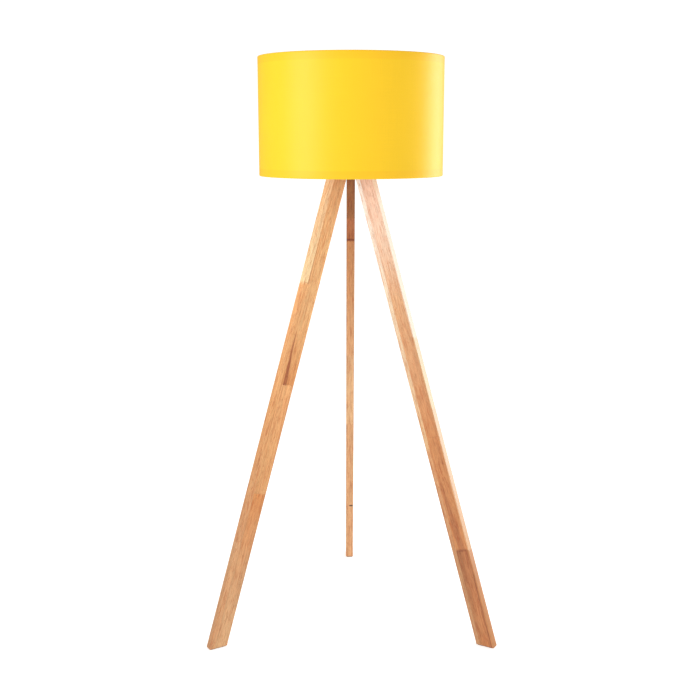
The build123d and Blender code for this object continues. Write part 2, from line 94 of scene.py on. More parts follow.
class Finish:
    """A node material, built one node at a time. Methods take and give node sockets."""

    def __init__(self, name, **uniform):
        """Uniform values go straight onto the shader's sockets: sheen_weight is Sheen Weight."""
        self.material = bpy.data.materials.new(name)
        self.material.use_nodes = True
        self.tree = self.material.node_tree
        self.shader = self.tree.nodes["Principled BSDF"]
        self.point = self.node("ShaderNodeTexCoord").outputs["Object"]
        for word, value in uniform.items():
            self.feed(self.socket(word), value)

    def socket(self, word):
        """The shader's socket for a word such as coat_weight."""
        words = ("IOR" if part == "ior" else part.capitalize() for part in word.split("_"))
        return self.shader.inputs[" ".join(words)]

    def feed(self, socket, value):
        """Links a socket to another, or sets its own value."""
        if isinstance(value, bpy.types.NodeSocket):
            self.tree.links.new(value, socket)
        else:
            socket.default_value = value

    def node(self, kind, inputs=(), **settings):
        """A new node. Inputs are given by name or number, as sockets or values."""
        made = self.tree.nodes.new(kind)
        for key, value in settings.items():
            setattr(made, key, value)
        for key, value in dict(inputs).items():
            self.feed(made.inputs[key], value)
        return made

    def maths(self, operation, *values):
        return self.node("ShaderNodeMath", enumerate(values), operation=operation).outputs[0]

    def vector(self, operation, *values):
        made = self.node("ShaderNodeVectorMath", enumerate(values), operation=operation)
        return made.outputs["Value" if operation in ("DOT_PRODUCT", "LENGTH") else "Vector"]

    def total(self, *values):
        """The sum of several values."""
        found = values[0]
        for value in values[1:]:
            found = self.maths("ADD", found, value)
        return found

    def gather(self, x, y, z):
        """A vector from its three parts."""
        return self.node("ShaderNodeCombineXYZ", {0: x, 1: y, 2: z}).outputs[0]

    def split(self, point):
        """A vector's three parts."""
        return self.node("ShaderNodeSeparateXYZ", {0: point}).outputs

    def noise(self, point, scale, detail=2.0, roughness=0.5, distortion=0.0):
        """Noise from 0 to 1. Scale is features in a metre."""
        inputs = {
            "Vector": point,
            "Scale": scale,
            "Detail": detail,
            "Roughness": roughness,
            "Distortion": distortion,
        }
        return self.node("ShaderNodeTexNoise", inputs).outputs["Fac"]

    def remap(self, value, low, high, to_low=0.0, to_high=1.0, smooth=True):
        """Takes a value's range to another, held at its ends."""
        kind = "SMOOTHSTEP" if smooth else "LINEAR"
        inputs = {0: value, 1: low, 2: high, 3: to_low, 4: to_high}
        return self.node("ShaderNodeMapRange", inputs, interpolation_type=kind).outputs[0]

    def ramp(self, value, stops):
        """A colour from (position, colour) stops."""
        made = self.node("ShaderNodeValToRGB", {0: value})
        elements = made.color_ramp.elements
        while len(elements) < len(stops):
            elements.new(1.0)
        for element, (position, colour) in zip(elements, stops):
            element.position = position
            element.color = colour
        return made.outputs["Color"]

    def mix(self, share, first, second, blend="MIX"):
        """One colour mixed into another."""
        made = self.node("ShaderNodeMix", data_type="RGBA", blend_type=blend)
        for number, value in ((0, share), (6, first), (7, second)):
            self.feed(made.inputs[number], value)
        return made.outputs[2]

    def shade(self, colour, factor):
        """A colour made darker or lighter by a factor that varies over the surface."""
        grey = self.gather(factor, factor, factor)
        return self.mix(1.0, colour, grey, "MULTIPLY")

    def bump(self, height, depth, strength=1.0):
        """Surface relief. Height is from 0 to 1, and depth is its size in metres."""
        inputs = {"Height": height, "Distance": depth, "Strength": strength}
        made = self.node("ShaderNodeBump", inputs)
        self.feed(self.shader.inputs["Normal"], made.outputs["Normal"])

    def finish(self, colour, roughness):
        """Links the last two sockets, and gives back the material."""
        self.feed(self.shader.inputs["Base Color"], colour)
        self.feed(self.shader.inputs["Roughness"], roughness)
        return self.material


def mottled(name, tones, rough, grain, relief, spots=60.0, **uniform):
    """A finish that drifts between two tones and two roughnesses, with a fine grained relief.
    Spots and grain are features in a metre, and relief is the grain's height in metres."""
    made = Finish(name, **uniform)
    drift = made.noise(made.point, spots, 4.0, 0.6)
    fine = made.noise(made.point, grain, 3.0, 0.6)
    both = made.total(made.maths("MULTIPLY", drift, 0.7), made.maths("MULTIPLY", fine, 0.3))
    colour = made.mix(made.remap(both, 0.3, 0.7), tone(tones[0]), tone(tones[1]))
    made.bump(fine, relief)
    return made.finish(colour, made.remap(both, 0.3, 0.7, *rough))


# --- Wood -----------------------------------------------------------------------------------

leg_start = -0.1  # from the pivot, and further up a leg than it reaches
leg_end = 1.3  # further down than it reaches
outer_strip_seed = 11  # keeps the outer strip's grain unlike the inner one's
ring_spacing = 5.5 * MM

wood_tones = {
    "cream": "f0e2d8",
    "almond": "ecd0ac",
    "blush": "eac6a8",
    "straw": "ffe0a8",
    "wheat": "f4c090",
    "honey": "f8c080",
    "gold": "f4b474",
    "saffron": "eaac6c",
    "peach": "e8b496",
    "biscuit": "e2b480",
    "oat": "dea874",
    "sand": "d6a878",
    "ginger": "e69e5a",
    "amber": "e09450",
    "tan": "da9e6a",
    "fawn": "cc9666",
    "copper": "d48e54",
    "chestnut": "c0844e",
    "russet": "b67242",
    "mahogany": "a8642e",
    "walnut": "9c6430",
}
browning = "d89f70"  # what pores and veins take the wood towards
heart_tone = "a5532c"
knot_tone = "4a2210"
glue_tone = "6d4426"

# Each leg is glued up from two strips, one each side of the split, which is a distance from
# the board's middle towards its outer face. A strip is a row of blocks: how far below the
# pivot each ends, and the tones it drifts through from its upper end to its lower.
leg_boards = {
    "left": {
        "split": 11 * MM,
        "outer": [
            (0.300, "wheat", "straw"),
            (0.960, "gold", "saffron", "tan"),
            (leg_end, "oat", "tan"),
        ],
        "inner": [
            (0.555, "tan", "honey", "honey", "ginger"),
            (0.835, "gold", "saffron"),
            (leg_end, "amber", "oat", "biscuit"),
        ],
    },
    "right": {
        "split": -11 * MM,
        "outer": [
            (0.692, "peach", "blush", "oat", "tan", "copper"),
            (0.985, "copper"),
            (leg_end, "russet", "copper"),
        ],
        "inner": [
            (0.722, "cream", "almond", "biscuit"),
            (0.997, "tan", "fawn"),
            (leg_end, "fawn"),
        ],
    },
    "back": {
        "split": 4 * MM,
        "outer": [(0.260, "tan"), (0.640, "fawn"), (0.990, "oat"), (leg_end, "tan")],
        "inner": [
            (0.137, "walnut"),
            (0.194, "russet", "mahogany"),
            (0.530, "chestnut", "oat"),
            (0.751, "sand", "biscuit"),
            (1.020, "oat"),
            (leg_end, "oat"),
        ],
    },
}
joint_width = 0.0005  # of a strip's length
glue_half = 0.22 * MM  # half of how wide a joint's line of glue is
split_glue_half = 0.18 * MM

# Streaks of darker heartwood. Each is how far below the pivot it starts and ends, how far its
# middle is towards the outer face at both ends, half its width at both ends, and how dark it is.
leg_hearts = {
    "left": [
        (0.400, 0.555, 0.0095, 0.0035, 0.0, 0.0052, 0.62),
        (0.120, 0.300, 0.0085, 0.0095, 0.0, 0.0014, 0.5),
    ],
    "right": [
        (0.760, 0.985, -0.0085, 0.006, 0.001, 0.0095, 0.32),
        (0.700, 0.760, 0.012, 0.014, 0.001, 0.004, 0.2),
        (1.000, 1.280, 0.0185, 0.0165, 0.0005, 0.0016, 0.5),
    ],
    "back": [(0.188, 0.194, -0.022, -0.022, 0.02, 0.02, 0.6)],
}

# A paler band painted along a leg's outer face, palest at the top and darker down the leg: painted light
# where the lamp on the right falls on that face. Where it starts and ends down the leg, and its tone.
leg_outer_face_light = {
    "right": [
        (leg_start, 0.44, "blush"),
        (0.44, 0.62, "biscuit"),
        (0.62, 0.985, "oat"),
        (0.985, leg_end, "copper"),
    ]
}
outer_light_from = 21.0 * MM  # from the board's middle
outer_light_fade = 0.8 * MM
outer_light_wander = 1.2 * MM

# Small dark knots: how far down the leg, towards the outer face and across it.
leg_knots = {"back": [(1.0335, -22.5 * MM, -4.5 * MM)]}
knot_radii = (3.0 * MM, 6.0 * MM, 7.0 * MM)

finger_length = 6 * MM
finger_pitch = 4.2 * MM
finger_wander = 0.6 * MM


def leg_axes(side):
    """A leg's pivot, and unit vectors up along it, towards its outer face and across it."""
    joint = next(j for j in frame["joints"] if j["child"] == f"leg_{side}")
    pivot = Vector(joint["pos_m"])
    outward = Vector((pivot.x, pivot.y, 0)).normalized()
    lean = radians(joint["range_deg"][1])
    up = Vector((0, 0, 1))
    along = cos(lean) * up - sin(lean) * outward
    depth = cos(lean) * outward + sin(lean) * up
    return pivot, along, depth, up.cross(outward)


def strip_of_blocks(made, distance, blocks):
    """A strip's tone at a distance down the leg, its block's number, and its joints' glue."""
    stops = []
    start = 0.0
    for end, *tones in blocks:
        reach = end / leg_end - joint_width - start
        for number, name in enumerate(tones):
            stops.append((start + reach * number / max(len(tones) - 1, 1), tone(wood_tones[name])))
        stops.append((start + reach, tone(wood_tones[tones[-1]])))
        start = end / leg_end
    colour = made.ramp(made.maths("DIVIDE", distance, leg_end), stops)
    joints = [block[0] for block in blocks[:-1]]
    number = made.total(*[made.maths("GREATER_THAN", distance, joint) for joint in joints])
    glue = made.total(*[made.maths("COMPARE", distance, joint, glue_half) for joint in joints])
    return colour, number, glue


def heartwood(made, distance, depth, heart):
    """How much of a dark streak there is at a place on a leg."""
    start, end, depth_start, depth_end, half_start, half_end, dark = heart
    centre = made.remap(distance, start, end, depth_start, depth_end, smooth=False)
    half = made.remap(distance, start, end, half_start, half_end, smooth=False)
    aside = made.maths("ABSOLUTE", made.maths("SUBTRACT", depth, centre))
    side_blur = 1.2 * MM
    inside = made.remap(made.maths("SUBTRACT", half, aside), -side_blur, side_blur)
    soft = 0.25 * (end - start)
    begun = made.remap(distance, start, start + soft)
    going = made.maths("LESS_THAN", distance, end)
    within = made.maths("MULTIPLY", begun, going)
    return made.maths("MULTIPLY", made.maths("MULTIPLY", inside, dark), within)


def knot(made, place, centre):
    """How much of a small knot there is at a place in a board."""
    offset = made.vector("SUBTRACT", place, centre)
    away = made.vector("LENGTH", made.vector("DIVIDE", offset, knot_radii))
    return made.remap(away, 0.6, 1.15, 1.0, 0.0)


def leg_wood(side):
    """Edge-glued, finger-jointed hardwood with a satin lacquer."""
    made = Finish(f"leg_wood_{side}", coat_weight=0.5, coat_roughness=0.38)
    pivot, along, outer, across = leg_axes(side)
    place = made.vector("SUBTRACT", made.point, tuple(pivot))
    distance = made.maths("MULTIPLY", made.vector("DOT_PRODUCT", place, tuple(along)), -1.0)
    depth = made.vector("DOT_PRODUCT", place, tuple(outer))
    width = made.vector("DOT_PRODUCT", place, tuple(across))

    saw = made.maths("PINGPONG", width, finger_pitch / 2)
    fingers = made.maths("MULTIPLY", saw, finger_length / (finger_pitch / 2))
    wander = made.noise(made.point, 300.0, 1.0)
    jointed = made.total(distance, made.maths("SUBTRACT", fingers, finger_length / 2))
    jointed = made.maths("ADD", jointed, made.maths("MULTIPLY", wander, finger_wander))

    boards = leg_boards[side]
    outer_tone, outer_number, outer_glue = strip_of_blocks(made, jointed, boards["outer"])
    inner_tone, inner_number, inner_glue = strip_of_blocks(made, jointed, boards["inner"])
    is_outer = made.maths("GREATER_THAN", depth, boards["split"])
    colour = made.mix(is_outer, inner_tone, outer_tone)
    spread = made.maths("MULTIPLY", is_outer, made.maths("ADD", outer_number, outer_strip_seed))
    other = made.maths("MULTIPLY", made.maths("SUBTRACT", 1.0, is_outer), inner_number)
    block = made.maths("ADD", spread, other)
    glue = made.mix(is_outer, inner_glue, outer_glue)
    split_glue = made.maths("COMPARE", depth, boards["split"], split_glue_half)

    # Each block is cut from somewhere else in the tree.
    chance = made.node("ShaderNodeTexWhiteNoise", {"W": block}, noise_dimensions="1D")
    shift = made.vector("MULTIPLY", chance.outputs["Color"], (3.0, 0.4, 0.4))
    board = made.vector("ADD", made.gather(distance, depth, width), shift)
    luck = made.split(chance.outputs["Color"])

    # Growth rings: a slice through long cones about a pith that is outside the block.
    bend = made.noise(made.vector("MULTIPLY", board, (3.0, 22.0, 22.0)), 1.0, 2.0)
    pith = made.remap(luck[0], 0.0, 1.0, -60 * MM, 60 * MM, smooth=False)
    beside = made.maths("SUBTRACT", depth, pith)
    above = made.total(width, made.remap(luck[1], 0.0, 1.0, 25 * MM, 70 * MM, smooth=False))
    squares = made.total(made.maths("POWER", beside, 2.0), made.maths("POWER", above, 2.0))
    bent = made.maths("MULTIPLY", bend, 14 * MM)
    taper = made.maths("MULTIPLY", distance, 0.012)
    ring = made.total(made.maths("SQRT", squares), bent, taper)
    bands = made.maths("SINE", made.maths("MULTIPLY", ring, tau / ring_spacing))

    # The grain, from broad streaks to single pores. Each noise is stretched down the leg: its
    # three numbers are features in a metre down, towards the outer face and across.
    streak = made.noise(made.vector("MULTIPLY", board, (2.2, 75.0, 75.0)), 1.0, 3.0, 0.6)
    fibre = made.noise(made.vector("MULTIPLY", board, (40.0, 700.0, 700.0)), 1.0, 3.0, 0.65)
    cloud = made.noise(made.vector("MULTIPLY", board, (70.0, 330.0, 330.0)), 1.0, 3.0, 0.65)
    pore = made.noise(made.vector("MULTIPLY", board, (95.0, 1300.0, 1300.0)), 1.0, 1.0)
    pore_row = made.remap(cloud, 0.35, 0.65, 0.62, 0.68)
    pores = made.remap(made.maths("SUBTRACT", pore, pore_row), 0.0, 0.05)
    vein = made.noise(made.vector("MULTIPLY", board, (22.0, 430.0, 430.0)), 1.0, 3.0, 0.7)
    veins = made.remap(vein, 0.46, 0.66)

    factor = made.total(
        made.remap(streak, 0.25, 0.75, 0.88, 1.13, smooth=False),
        made.remap(fibre, 0.2, 0.8, -0.06, 0.06, smooth=False),
        made.remap(cloud, 0.25, 0.75, -0.13, 0.13, smooth=False),
        made.maths("MULTIPLY", bands, 0.025),
    )
    colour = made.shade(colour, factor)
    browner = made.mix(1.0, colour, tone(browning), "MULTIPLY")
    veined = made.maths("MULTIPLY", veins, 0.7)
    brown = made.maths("MAXIMUM", veined, made.maths("MULTIPLY", pores, 0.9))
    colour = made.mix(brown, colour, browner)

    heart = made.total(*[heartwood(made, distance, depth, h) for h in leg_hearts[side]])
    heart = made.maths("MULTIPLY", heart, made.remap(fibre, 0.2, 0.7, 0.75, 1.15))
    colour = made.mix(heart, colour, made.mix(1.0, colour, tone(heart_tone), "MULTIPLY"))
    # Painted light: the outer face made paler where the lamp on the right falls on it, fading darker down
    # the leg.
    for start, end, name in leg_outer_face_light.get(side, []):
        begun = made.maths("GREATER_THAN", jointed, start)
        within = made.maths("MULTIPLY", begun, made.maths("LESS_THAN", jointed, end))
        edge = made.total(depth, made.maths("MULTIPLY", bend, outer_light_wander))
        near = made.remap(edge, outer_light_from, outer_light_from + outer_light_fade)
        outer_lit_tone = made.shade(tone(wood_tones[name]), factor)
        colour = made.mix(made.maths("MULTIPLY", within, near), colour, outer_lit_tone)
    for centre in leg_knots.get(side, []):
        dark = knot(made, made.gather(distance, depth, width), centre)
        colour = made.mix(made.maths("MULTIPLY", dark, 0.9), colour, tone(knot_tone))
    lines = made.maths("MAXIMUM", glue, made.maths("MULTIPLY", split_glue, 0.7))
    colour = made.mix(made.maths("MULTIPLY", lines, 0.45), colour, tone(glue_tone))

    relief = made.maths("SUBTRACT", made.maths("MULTIPLY", fibre, 0.35), pores)
    made.bump(relief, 0.10 * MM, 0.55)
    fibrous = made.maths("MULTIPLY", fibre, 0.14)
    rough = made.total(0.36, fibrous, made.maths("MULTIPLY", pores, 0.2))
    return made.finish(colour, rough)


# --- Fabric, liner and felt -------------------------------------------------------------------

thread_pitch = 0.62 * MM
hem_blur = 1.5 * MM  # half of how far the painted shade of the doubled edge takes to fade in
yellow = "ffcd00"
# Painted shade: the yellow of the doubled edges, where less light shows through the fabric.
hem_shaded_yellow = "ffc700"


def around_the_drum(made):
    """A point's distance round the shade, and its height."""
    x, y, z = made.split(made.point)
    turn = made.maths("ARCTAN2", y, x)
    return made.maths("MULTIPLY", turn, shade_radius), z


def shade_fabric():
    """A plain-woven yellow cotton, slightly slubbed."""
    made = Finish(
        "shade_fabric",
        specular_ior_level=0.48,
        sheen_weight=0.05,
        sheen_roughness=0.45,
        sheen_tint=(1.0, 0.93, 0.72, 1.0),
    )
    along, height = around_the_drum(made)
    warp = made.maths("DIVIDE", along, thread_pitch)
    weft = made.maths("DIVIDE", height, thread_pitch)
    over = made.maths("SINE", made.maths("MULTIPLY", warp, pi))
    under = made.maths("SINE", made.maths("MULTIPLY", weft, pi))
    crossing = made.maths("MULTIPLY", over, under)
    bulge = made.maths("POWER", made.maths("ABSOLUTE", crossing), 0.6)
    on_top = made.remap(crossing, -0.1, 0.1)

    fine_along = made.maths("MULTIPLY", along, 900.0)
    fine_height = made.maths("MULTIPLY", height, 900.0)
    upright = made.gather(fine_along, 0.0, made.maths("MULTIPLY", height, 9.0))
    level = made.gather(made.maths("MULTIPLY", along, 9.0), 5.0, fine_height)
    warp_slub = made.noise(upright, 1.0, 2.0, 0.6)
    weft_slub = made.noise(level, 1.0, 2.0, 0.6)
    thread = made.node("ShaderNodeMix", {0: on_top, 2: weft_slub, 3: warp_slub}).outputs[0]
    drift = made.noise(made.point, 9.0, 2.0)

    # Painted shade: darker bands at the turned-in edges, where less light shows through the doubled
    # fabric.
    low_hem = shade_low + hem_depth
    high_hem = shade_high - hem_depth
    above_low = made.remap(height, low_hem - hem_blur, low_hem + hem_blur)
    above_high = made.remap(height, high_hem - hem_blur, high_hem + hem_blur)
    hem_shade = made.maths("MAXIMUM", made.maths("SUBTRACT", 1.0, above_low), above_high)

    colour = made.mix(hem_shade, tone(yellow), tone(hem_shaded_yellow))
    factor = made.total(
        made.remap(thread, 0.25, 0.75, 0.95, 1.03, smooth=False),
        # Painted shade: darker in the gaps between the threads, where they dip under one another.
        made.remap(bulge, 0.0, 0.5, -0.06, 0.0),
        made.remap(drift, 0.3, 0.7, -0.012, 0.012, smooth=False),
    )
    colour = made.shade(colour, factor)
    relief = made.total(made.maths("MULTIPLY", bulge, 0.7), made.maths("MULTIPLY", thread, 0.5))
    made.bump(relief, 0.09 * MM, 0.6)
    return made.finish(colour, made.remap(thread, 0.2, 0.8, 0.38, 0.50))


def shade_liner():
    """The white styrene sheet behind the fabric, faintly rolled."""
    made = Finish("shade_liner", specular_ior_level=0.45)
    along, height = around_the_drum(made)
    stretched = made.maths("MULTIPLY", height, 160.0)
    rolled = made.gather(made.maths("MULTIPLY", along, 4.0), 0.0, stretched)
    lines = made.noise(rolled, 1.0, 3.0)
    dust = made.noise(made.point, 420.0, 2.0)
    colour = made.mix(made.remap(lines, 0.3, 0.7), tone("f4f1e6"), tone("fbf9f1"))
    colour = made.shade(colour, made.remap(dust, 0.62, 0.8, 1.0, 0.95))
    made.bump(lines, 0.05 * MM, 0.4)
    return made.finish(colour, made.remap(lines, 0.3, 0.7, 0.34, 0.48))


def foot_felt():
    """Dense needled felt."""
    made = Finish("foot_felt", sheen_weight=0.4, specular_ior_level=0.2)
    lean = made.noise(made.point, 350.0, 2.0)
    sideways = made.gather(made.maths("MULTIPLY", lean, 4 * MM), 0.0, 0.0)
    twisted = made.vector("ADD", made.point, sideways)
    fibres = made.noise(made.vector("MULTIPLY", twisted, (900.0, 2600.0, 1500.0)), 1.0, 4.0, 0.7)
    colour = made.mix(made.remap(fibres, 0.3, 0.7), tone("3a2a20"), tone("75604e"))
    made.bump(fibres, 0.5 * MM)
    return made.finish(colour, made.remap(fibres, 0.3, 0.7, 0.85, 1.0))


# --- Metals, plastics and ceramics ---------------------------------------------------------------


def black_steel():
    """A satin powder coat with its fine orange peel."""
    return mottled("black_steel", ("0c0c0d", "17171a"), (0.34, 0.5), 1300.0, 0.05 * MM, coat_weight=0.1)


def zinc_steel():
    """Bright zinc plate, faintly cloudy."""
    return mottled("zinc_steel", ("a9abad", "d3d2cb"), (0.2, 0.42), 900.0, 0.015 * MM, metallic=1.0)


def nylon():
    """Natural moulded nylon."""
    return mottled("nylon", ("dcd8c9", "eeebe0"), (0.35, 0.5), 1500.0, 0.02 * MM)


def black_plastic():
    """Moulded phenolic with a fine spark-eroded texture."""
    return mottled("black_plastic", ("0d0d0e", "1b1b1d"), (0.24, 0.42), 2600.0, 0.02 * MM)


def dark_insulator():
    return mottled("dark_insulator", ("07040a", "1d1226"), (0.06, 0.2), 500.0, 0.02 * MM, coat_weight=0.6)


def steatite():
    """Unglazed pressed ceramic with small specks."""
    return mottled("steatite", ("d5cfbf", "efeadd"), (0.5, 0.75), 1900.0, 0.03 * MM, spots=400.0)


def brass():
    """Stamped brass, a little tarnished."""
    return mottled("brass", ("a57a2c", "dcb560"), (0.2, 0.42), 700.0, 0.02 * MM, metallic=1.0)


def solder_tip():
    return mottled("solder_tip", ("8f8f90", "cfcfcd"), (0.2, 0.5), 450.0, 0.08 * MM, metallic=1.0)


def nickel_cap():
    return mottled("nickel_cap", ("b5b3ae", "dddbd6"), (0.14, 0.32), 1100.0, 0.015 * MM, metallic=1.0)


def bulb_plastic():
    return mottled("bulb_plastic", ("e7e6e1", "edece7"), (0.28, 0.34), 1600.0, 0.015 * MM)


def opal_globe():
    """Opal glass with a soft satin surface."""
    return mottled("opal_globe", ("f2f0e9", "f5f3ec"), (0.27, 0.30), 1500.0, 0.004 * MM, coat_weight=0.2)


def white_wire():
    """Steel under a white epoxy coat."""
    return mottled("white_wire", ("e6e5df", "f4f3ee"), (0.26, 0.42), 1200.0, 0.04 * MM)


def led_phosphor():
    return mottled("led_phosphor", ("e0b62c", "f2d774"), (0.25, 0.4), 3000.0, 0.02 * MM, spots=900.0)


def board_tracks(name, mask, track):
    """A circuit board: solder mask with slightly raised copper runs under it."""
    made = Finish(name, coat_weight=0.3)
    inputs = {"Vector": made.point, "Scale": 260.0}
    settings = {"feature": "DISTANCE_TO_EDGE", "distance": "CHEBYCHEV"}
    cells = made.node("ShaderNodeTexVoronoi", inputs, **settings)
    runs = made.remap(cells.outputs["Distance"], 0.10, 0.14)
    grain = made.noise(made.point, 1500.0, 2.0)
    colour = made.mix(runs, tone(track), tone(mask))
    colour = made.shade(colour, made.remap(grain, 0.3, 0.7, 0.92, 1.05))
    made.bump(runs, 0.05 * MM)
    return made.finish(colour, made.remap(grain, 0.3, 0.7, 0.25, 0.4))


def circuit_board():
    return board_tracks("circuit_board", "1c5a2c", "3f8a4a")


def led_board():
    return board_tracks("led_board", "ecebe6", "d9d7cd")


def finish_cad_nodes():
    """Gives every CAD node the finish of its slot, made once for each slot."""
    makers = [
        foot_felt,
        black_steel,
        zinc_steel,
        nylon,
        black_plastic,
        dark_insulator,
        steatite,
        brass,
        solder_tip,
        nickel_cap,
        bulb_plastic,
        opal_globe,
        circuit_board,
        led_board,
        led_phosphor,
        shade_fabric,
        shade_liner,
        white_wire,
    ]
    made = {maker.__name__: maker() for maker in makers}
    for side in leg_boards:
        made[f"leg_{side}"] = leg_wood(side)
    for name, node in frame["nodes"].items():
        slot = node.data.materials[0].name.split(".")[0]
        node.data.materials[0] = made.get(name) or made[slot]
    return made


# --- Meshes ------------------------------------------------------------------------------------


def new_piece(name, points, faces, finish, body):
    """A mesh piece that rides on a body, smooth-shaded."""
    mesh = bpy.data.meshes.new(name)
    mesh.from_pydata(points, [], faces)
    mesh.materials.append(finish)
    mesh.shade_smooth()
    mesh.update()
    piece = bpy.data.objects.new(name, mesh)
    bpy.context.scene.collection.objects.link(piece)
    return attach(piece, body)


def thicken(piece, gauge, offset=0.0):
    """Gives a sheet its thickness: offset -1 is all inwards, 0 is half each way."""
    solid = piece.modifiers.new("gauge", "SOLIDIFY")
    solid.thickness = gauge
    solid.offset = offset
    return piece


def grid_faces(columns, rows, skip=lambda column, row: False, closed=False):
    """Quads between neighbouring columns of points, each column rows long."""
    faces = []
    for column in range(columns if closed else columns - 1):
        here = column * rows
        beside = (column + 1) % columns * rows
        for row in range(rows - 1):
            if not skip(column, row):
                faces.append((here + row, beside + row, beside + row + 1, here + row + 1))
    return faces


def smooth_step(value):
    """From 0 to 1 with level ends, held outside them."""
    value = min(max(value, 0.0), 1.0)
    return value * value * (3 - 2 * value)


# --- The shade's cover ---------------------------------------------------------------------------

# Angles are in degrees.
column_angle = 0.75
overlap_angle = 3.0
overlap_rise_angle = 1.5  # where the overlap climbs onto the layer below
overlap_gap = 0.06 * MM
wrap_radius = wire_gauge + fabric_gauge / 2 + 0.05 * MM
hem_radius = wire_ring + 0.95 * MM
hem_bend = 2.4 * MM
tuck_angle = 145  # round the wire, where the fabric leaves it for the hem
hem_rows = 4
bend_rows = 5
wrap_rows = 15
wall_rows = 28
slit_height = 5 * MM
wave_height = 0.07 * MM
pucker_height = 0.09 * MM


def lower_edge():
    """The fabric's centreline as (radius, height above the wire), from the hem's free edge,
    down inside the liner, in round the wire and out to the wall."""
    hem_top = shade_low + hem_depth - wire_low
    tuck = radians(tuck_angle)
    leave = Vector((wire_ring + wrap_radius * cos(tuck), wrap_radius * sin(tuck)))
    slope = Vector((sin(tuck), -cos(tuck)))
    corner = leave + slope * (hem_radius - leave.x) / slope.x
    start = corner + Vector((0, hem_bend))
    end = corner - slope * hem_bend
    path = []
    for row in range(hem_rows):
        path.append(Vector((hem_radius, hem_top + (start.y - hem_top) * row / hem_rows)))
    for row in range(bend_rows):
        share = row / (bend_rows - 1)
        path.append(start.lerp(corner, share).lerp(corner.lerp(end, share), share))
    for row in range(wrap_rows):
        angle = radians(tuck_angle + (360 - tuck_angle) * row / wrap_rows)
        path.append(Vector((wire_ring + wrap_radius * cos(angle), wrap_radius * sin(angle))))
    return path


def cover_section():
    """The whole centreline at one azimuth, from hem to hem."""
    edge = lower_edge()
    wall_radius = wire_ring + wrap_radius
    low = [Vector((p.x, wire_low + p.y)) for p in edge]
    high = [Vector((p.x, wire_high - p.y)) for p in reversed(edge)]
    rise = (wire_high - wire_low) / wall_rows
    wall = [Vector((wall_radius, wire_low + rise * row)) for row in range(wall_rows + 1)]
    return low + wall + high


def section_normals(section):
    """Unit vectors out of the fabric's face along its centreline."""
    normals = []
    for index in range(len(section)):
        before = section[max(index - 1, 0)]
        after = section[min(index + 1, len(section) - 1)]
        run = (after - before).normalized()
        normals.append(Vector((run.y, -run.x)))
    return normals


def fabric_lift(azimuth, height):
    """How far the fabric stands off its centreline: slow waves, and small puckers at the hems."""
    spot = Vector((cos(azimuth), sin(azimuth), height / shade_radius))
    slow = noise.noise(spot * 3.0) + 1
    edge = min(abs(height - shade_low), abs(shade_high - height))
    near = 1 - smooth_step(edge / hem_depth)
    pucker = noise.noise(Vector((spot.x * 24, spot.y * 24, spot.z * 2 + 7))) + 1
    return wave_height * slow + pucker_height * near * pucker


def shade_cover(finish):
    """One piece of fabric round the drum, its edges turned in over the wires, slit at each arm
    and overlapped at the back."""
    section = cover_section()
    normals = section_normals(section)
    columns = round((360 + overlap_angle) / column_angle) + 1
    first = seam_azimuth - overlap_angle / 2
    seam_start = first + 360
    points = []
    for column in range(columns):
        degrees = first + column * column_angle
        azimuth = radians(degrees)
        climb = smooth_step((degrees - seam_start + overlap_rise_angle) / overlap_rise_angle)
        over = climb * (fabric_gauge + overlap_gap)
        for place, normal in zip(section, normals):
            raised = place + normal * (fabric_lift(azimuth, place.y) + over)
            points.append((raised.x * cos(azimuth), raised.x * sin(azimuth), raised.y))

    def in_slit(column, row):
        """True where the lower wrap is cut away for an arm."""
        mid = (first + (column + 0.5) * column_angle) % 360
        at_arm = any(abs(mid - arm) < column_angle for arm in arm_azimuths)
        here = section[row]
        return at_arm and here.x < hem_radius - 0.3 * MM and here.y < wire_low + slit_height

    faces = grid_faces(columns, len(section), in_slit)
    cover = new_piece("shade_cover", points, faces, finish, "shade")
    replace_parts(cover, "shade_fabric")
    return thicken(cover, fabric_gauge)


# --- The liner -----------------------------------------------------------------------------------

strip_column_angle = 1.5
strip_rows = 16
butt_gap_angle = 0.12
tape_angle = 5.2
tape_gauge = 0.15 * MM
tape_ripple = 0.02 * MM


def curved_strip(name, radius, low, high, start, end, finish, ripple=0.0):
    """A strip of sheet about the lamp's axis, between two heights and two azimuths in degrees."""
    columns = round((end - start) / strip_column_angle) + 1
    points = []
    for column in range(columns):
        azimuth = radians(start + (end - start) * column / (columns - 1))
        for row in range(strip_rows):
            height = low + (high - low) * row / (strip_rows - 1)
            spot = Vector((cos(azimuth), sin(azimuth), height / radius))
            reach = radius + ripple * noise.noise(spot * 6)
            points.append((reach * cos(azimuth), reach * sin(azimuth), height))
    faces = grid_faces(columns, strip_rows)
    return new_piece(name, points, faces, finish, "shade")


def shade_lining(finish):
    """The stiff sheet that the fabric is laminated to, butted at the back under a strip of tape."""
    low, high = (corner.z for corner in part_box("shade_liner"))
    radius = radius_of("shade_liner") - liner_gauge / 2
    gap = butt_gap_angle / 2
    start = seam_azimuth + gap
    end = seam_azimuth + 360 - gap
    lining = curved_strip("shade_lining", radius, low, high, start, end, finish)

    inside = radius - liner_gauge / 2 - tape_gauge
    tape_low = shade_low + hem_depth + MM
    tape_high = shade_high - hem_depth - MM
    start = seam_azimuth - tape_angle / 2
    end = seam_azimuth + tape_angle / 2
    tape = curved_strip("seam_tape", inside, tape_low, tape_high, start, end, finish, tape_ripple)
    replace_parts(lining, "shade_liner")
    thicken(tape, tape_gauge)
    return thicken(lining, liner_gauge)


# --- Screw threads ------------------------------------------------------------------------------

cap_pitch = 25.4 / 7 * MM
cap_depth = 0.9 * MM
holder_pitch = 2.5 * MM
holder_depth = 0.75 * MM
holder_root = 19.7 * MM
sleeve_gauge = 0.3 * MM
thread_columns = 72
rows_per_turn = 9


